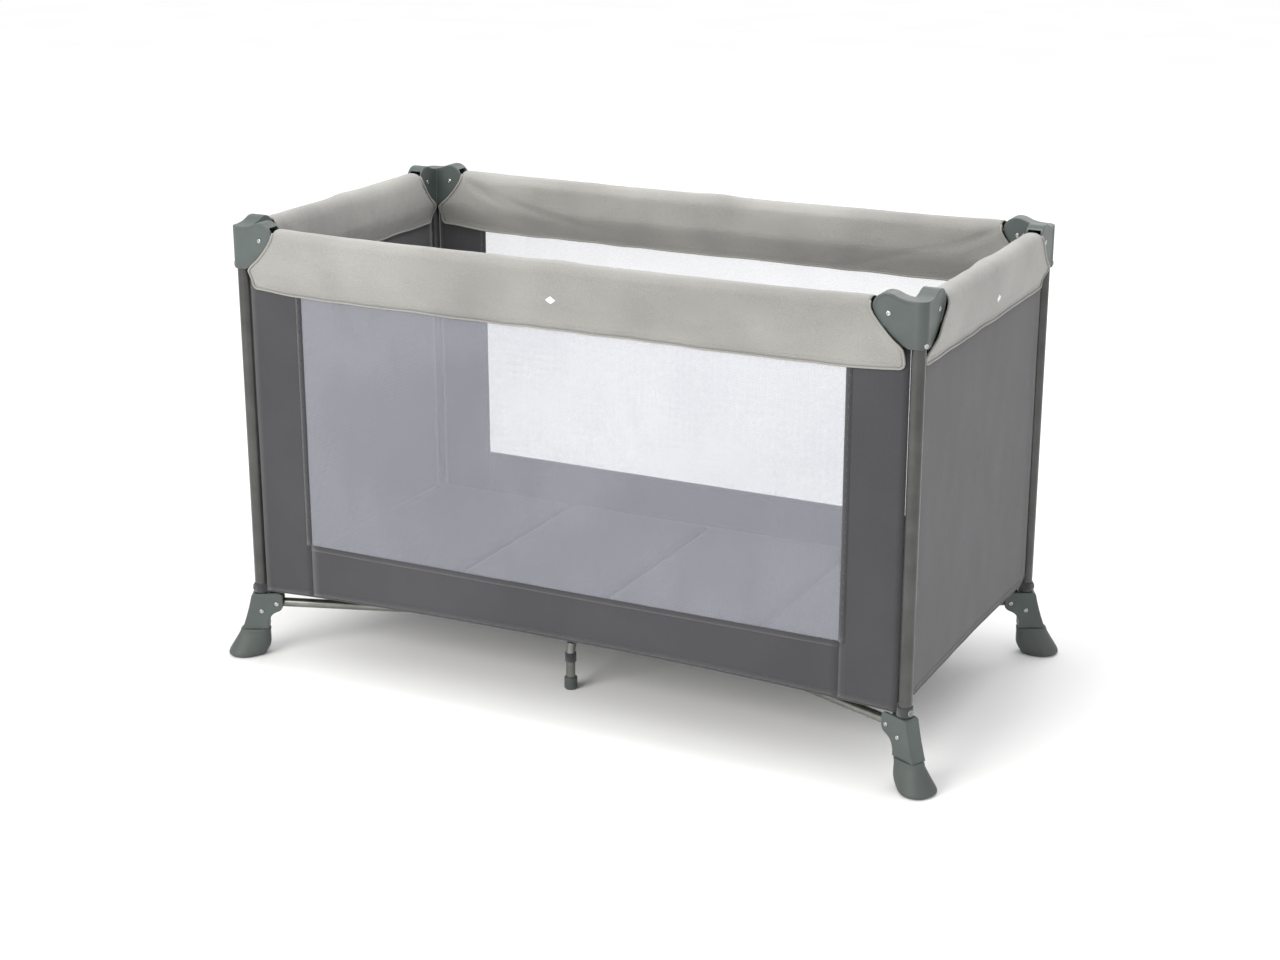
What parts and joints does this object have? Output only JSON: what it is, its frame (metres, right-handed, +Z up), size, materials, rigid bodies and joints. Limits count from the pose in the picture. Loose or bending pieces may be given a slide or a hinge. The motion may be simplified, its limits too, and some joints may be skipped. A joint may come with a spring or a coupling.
{
  "type": "travel play yard",
  "caption": "Folding travel play yard: padded breaking top rails on splayed corner posts, fabric and net walls, a floor hub and a folding mattress.",
  "frame": {"origin": "on the floor under the middle of the yard", "axes": "+X along the yard's length, -Y towards its front, +Z up"},
  "size_m": [1.319, 0.699, 0.7803],
  "materials": {
    "housing_plastic": "satin",
    "boot_rubber": "matte",
    "latch_plastic": "matte",
    "button_plastic": "satin",
    "tube_paint": "satin",
    "cover_cloth": "woven",
    "wall_cloth": "woven",
    "mattress_cloth": "woven"
  },
  "bodies": {
    "hub": {"hub_body": "housing_plastic", "hub_cap": "latch_plastic", "pull_strap": "wall_cloth", "floor_fabric": "wall_cloth"},
    "floor_arm_front_left": {"floor_tube_front_left": "tube_paint"},
    "corner_front_left": {"post_front_left": "tube_paint", "foot_bracket_front_left": "housing_plastic", "foot_boot_front_left": "boot_rubber", "corner_housing_front_left": "housing_plastic", "front_wall": "wall_cloth"},
    "front_rail_a": {"front_rail_latch_half": "tube_paint", "front_latch_body": "latch_plastic", "front_rail_cover": "cover_cloth"},
    "front_rail_b": {"front_rail_catch_half": "tube_paint", "front_latch_catch": "latch_plastic"},
    "front_button": {"front_latch_button": "button_plastic"},
    "floor_arm_front_right": {"floor_tube_front_right": "tube_paint"},
    "corner_front_right": {"post_front_right": "tube_paint", "foot_bracket_front_right": "housing_plastic", "foot_boot_front_right": "boot_rubber", "corner_housing_front_right": "housing_plastic", "right_wall": "wall_cloth"},
    "right_rail_a": {"right_rail_latch_half": "tube_paint", "right_latch_body": "latch_plastic", "right_rail_cover": "cover_cloth"},
    "right_rail_b": {"right_rail_catch_half": "tube_paint", "right_latch_catch": "latch_plastic"},
    "right_button": {"right_latch_button": "button_plastic"},
    "floor_arm_back_right": {"floor_tube_back_right": "tube_paint"},
    "corner_back_right": {"post_back_right": "tube_paint", "foot_bracket_back_right": "housing_plastic", "foot_boot_back_right": "boot_rubber", "corner_housing_back_right": "housing_plastic", "back_wall": "wall_cloth"},
    "back_rail_a": {"back_rail_latch_half": "tube_paint", "back_latch_body": "latch_plastic", "back_rail_cover": "cover_cloth"},
    "back_rail_b": {"back_rail_catch_half": "tube_paint", "back_latch_catch": "latch_plastic"},
    "back_button": {"back_latch_button": "button_plastic"},
    "floor_arm_back_left": {"floor_tube_back_left": "tube_paint"},
    "corner_back_left": {"post_back_left": "tube_paint", "foot_bracket_back_left": "housing_plastic", "foot_boot_back_left": "boot_rubber", "corner_housing_back_left": "housing_plastic", "left_wall": "wall_cloth"},
    "left_rail_a": {"left_rail_latch_half": "tube_paint", "left_latch_body": "latch_plastic", "left_rail_cover": "cover_cloth"},
    "left_rail_b": {"left_rail_catch_half": "tube_paint", "left_latch_catch": "latch_plastic"},
    "left_button": {"left_latch_button": "button_plastic"},
    "front_leg": {"front_centre_leg": "tube_paint", "front_centre_leg_cap": "boot_rubber"},
    "back_leg": {"back_centre_leg": "tube_paint", "back_centre_leg_cap": "boot_rubber"},
    "mattress_1": {"mattress_panel_1": "mattress_cloth"},
    "mattress_2": {"mattress_panel_2": "mattress_cloth"},
    "mattress_3": {"mattress_panel_3": "mattress_cloth"},
    "mattress_4": {"mattress_panel_4": "mattress_cloth"}
  },
  "joints": [
    {"name": "frame_fold", "type": "hinge", "parent": "corner_front_left", "child": "floor_arm_front_left", "pos_m": [-0.57591, -0.2918, 0.097], "axis": [0.452, -0.892, 0], "range_deg": [0, 87], "deforming": ["floor_fabric", "pull_strap", "front_wall", "front_rail_cover", "right_wall", "right_rail_cover", "back_wall", "back_rail_cover", "left_wall", "left_rail_cover", "mattress_panel_1", "mattress_panel_2", "mattress_panel_3", "mattress_panel_4"]},
    {"name": "hub_hinge", "type": "hinge", "parent": "floor_arm_front_left", "child": "hub", "pos_m": [-0.0669, -0.0339, 0.066], "axis": [0.452, -0.892, 0], "range_deg": [-87, 0]},
    {"name": "front_rail_a_hinge", "type": "hinge", "parent": "corner_front_left", "child": "front_rail_a", "pos_m": [-0.556, -0.304, 0.75], "axis": [0, 1, 0], "range_deg": [0, 81]},
    {"name": "front_rail_middle_hinge", "type": "hinge", "parent": "front_rail_a", "child": "front_rail_b", "pos_m": [0, -0.304, 0.762], "axis": [0, 1, 0], "range_deg": [-162, 0]},
    {"name": "front_latch_press", "type": "slide", "parent": "front_rail_a", "child": "front_button", "axis": [0, 1, 0], "range_m": [0, 0.004], "stiffness_N_per_m": 300},
    {"name": "floor_arm_front_right_hinge", "type": "hinge", "parent": "hub", "child": "floor_arm_front_right", "pos_m": [0.0669, -0.0339, 0.066], "axis": [0.452, 0.892, 0], "range_deg": [0, 87]},
    {"name": "corner_front_right_hinge", "type": "hinge", "parent": "floor_arm_front_right", "child": "corner_front_right", "pos_m": [0.57591, -0.2918, 0.097], "axis": [0.452, 0.892, 0], "range_deg": [-87, 0]},
    {"name": "right_rail_a_hinge", "type": "hinge", "parent": "corner_front_right", "child": "right_rail_a", "pos_m": [0.6, -0.26, 0.75], "axis": [-1, 0, 0], "range_deg": [0, 87]},
    {"name": "right_rail_middle_hinge", "type": "hinge", "parent": "right_rail_a", "child": "right_rail_b", "pos_m": [0.6, 0, 0.762], "axis": [-1, 0, 0], "range_deg": [-174, 0]},
    {"name": "right_latch_press", "type": "slide", "parent": "right_rail_a", "child": "right_button", "axis": [-1, 0, 0], "range_m": [0, 0.004], "stiffness_N_per_m": 300},
    {"name": "floor_arm_back_right_hinge", "type": "hinge", "parent": "hub", "child": "floor_arm_back_right", "pos_m": [0.0669, 0.0339, 0.066], "axis": [-0.452, 0.892, 0], "range_deg": [0, 87]},
    {"name": "corner_back_right_hinge", "type": "hinge", "parent": "floor_arm_back_right", "child": "corner_back_right", "pos_m": [0.57591, 0.2918, 0.097], "axis": [-0.452, 0.892, 0], "range_deg": [-87, 0]},
    {"name": "back_rail_a_hinge", "type": "hinge", "parent": "corner_back_right", "child": "back_rail_a", "pos_m": [0.556, 0.304, 0.75], "axis": [0, -1, 0], "range_deg": [0, 81]},
    {"name": "back_rail_middle_hinge", "type": "hinge", "parent": "back_rail_a", "child": "back_rail_b", "pos_m": [0, 0.304, 0.762], "axis": [0, -1, 0], "range_deg": [-162, 0]},
    {"name": "back_latch_press", "type": "slide", "parent": "back_rail_a", "child": "back_button", "axis": [0, -1, 0], "range_m": [0, 0.004], "stiffness_N_per_m": 300},
    {"name": "floor_arm_back_left_hinge", "type": "hinge", "parent": "hub", "child": "floor_arm_back_left", "pos_m": [-0.0669, 0.0339, 0.066], "axis": [-0.452, -0.892, 0], "range_deg": [0, 87]},
    {"name": "corner_back_left_hinge", "type": "hinge", "parent": "floor_arm_back_left", "child": "corner_back_left", "pos_m": [-0.57591, 0.2918, 0.097], "axis": [-0.452, -0.892, 0], "range_deg": [-87, 0]},
    {"name": "left_rail_a_hinge", "type": "hinge", "parent": "corner_back_left", "child": "left_rail_a", "pos_m": [-0.6, 0.26, 0.75], "axis": [1, 0, 0], "range_deg": [0, 87]},
    {"name": "left_rail_middle_hinge", "type": "hinge", "parent": "left_rail_a", "child": "left_rail_b", "pos_m": [-0.6, 0, 0.762], "axis": [1, 0, 0], "range_deg": [-174, 0]},
    {"name": "left_latch_press", "type": "slide", "parent": "left_rail_a", "child": "left_button", "axis": [1, 0, 0], "range_m": [0, 0.004], "stiffness_N_per_m": 300},
    {"name": "front_leg_hinge", "type": "hinge", "parent": "hub", "child": "front_leg", "pos_m": [-0.01435, -0.07361, 0.072], "axis": [0.9815, -0.1914, 0], "range_deg": [0, 70]},
    {"name": "back_leg_hinge", "type": "hinge", "parent": "hub", "child": "back_leg", "pos_m": [0.01435, 0.07361, 0.072], "axis": [-0.9815, 0.1914, 0], "range_deg": [0, 70]},
    {"name": "mattress_lift", "type": "slide", "parent": "hub", "child": "mattress_4", "axis": [0, 0, 1], "range_m": [0, 0.7]},
    {"name": "mattress_fold", "type": "hinge", "parent": "mattress_4", "child": "mattress_3", "pos_m": [0.289, 0, 0.1575], "axis": [0, 1, 0], "range_deg": [0, 180]},
    {"name": "mattress_middle_hinge", "type": "hinge", "parent": "mattress_3", "child": "mattress_2", "pos_m": [0, 0, 0.1305], "axis": [0, 1, 0], "range_deg": [-180, 0]},
    {"name": "mattress_end_hinge", "type": "hinge", "parent": "mattress_2", "child": "mattress_1", "pos_m": [-0.289, 0, 0.1575], "axis": [0, 1, 0], "range_deg": [0, 180]}
  ],
  "couplings": [
    {"joint": "hub_hinge", "follows": "frame_fold", "ratio": -1},
    {"joint": "front_rail_a_hinge", "follows": "frame_fold", "ratio": 0.9281},
    {"joint": "front_rail_middle_hinge", "follows": "frame_fold", "ratio": -1.8562},
    {"joint": "floor_arm_front_right_hinge", "follows": "frame_fold", "ratio": 1},
    {"joint": "corner_front_right_hinge", "follows": "frame_fold", "ratio": -1},
    {"joint": "right_rail_a_hinge", "follows": "frame_fold", "ratio": 0.9898},
    {"joint": "right_rail_middle_hinge", "follows": "frame_fold", "ratio": -1.9796},
    {"joint": "floor_arm_back_right_hinge", "follows": "frame_fold", "ratio": 1},
    {"joint": "corner_back_right_hinge", "follows": "frame_fold", "ratio": -1},
    {"joint": "back_rail_a_hinge", "follows": "frame_fold", "ratio": 0.9281},
    {"joint": "back_rail_middle_hinge", "follows": "frame_fold", "ratio": -1.8562},
    {"joint": "floor_arm_back_left_hinge", "follows": "frame_fold", "ratio": 1},
    {"joint": "corner_back_left_hinge", "follows": "frame_fold", "ratio": -1},
    {"joint": "left_rail_a_hinge", "follows": "frame_fold", "ratio": 0.9898},
    {"joint": "left_rail_middle_hinge", "follows": "frame_fold", "ratio": -1.9796},
    {"joint": "front_leg_hinge", "follows": "frame_fold", "ratio": 0.8},
    {"joint": "back_leg_hinge", "follows": "frame_fold", "ratio": 0.8},
    {"joint": "mattress_middle_hinge", "follows": "mattress_fold", "ratio": -1},
    {"joint": "mattress_end_hinge", "follows": "mattress_fold", "ratio": 1}
  ]
}
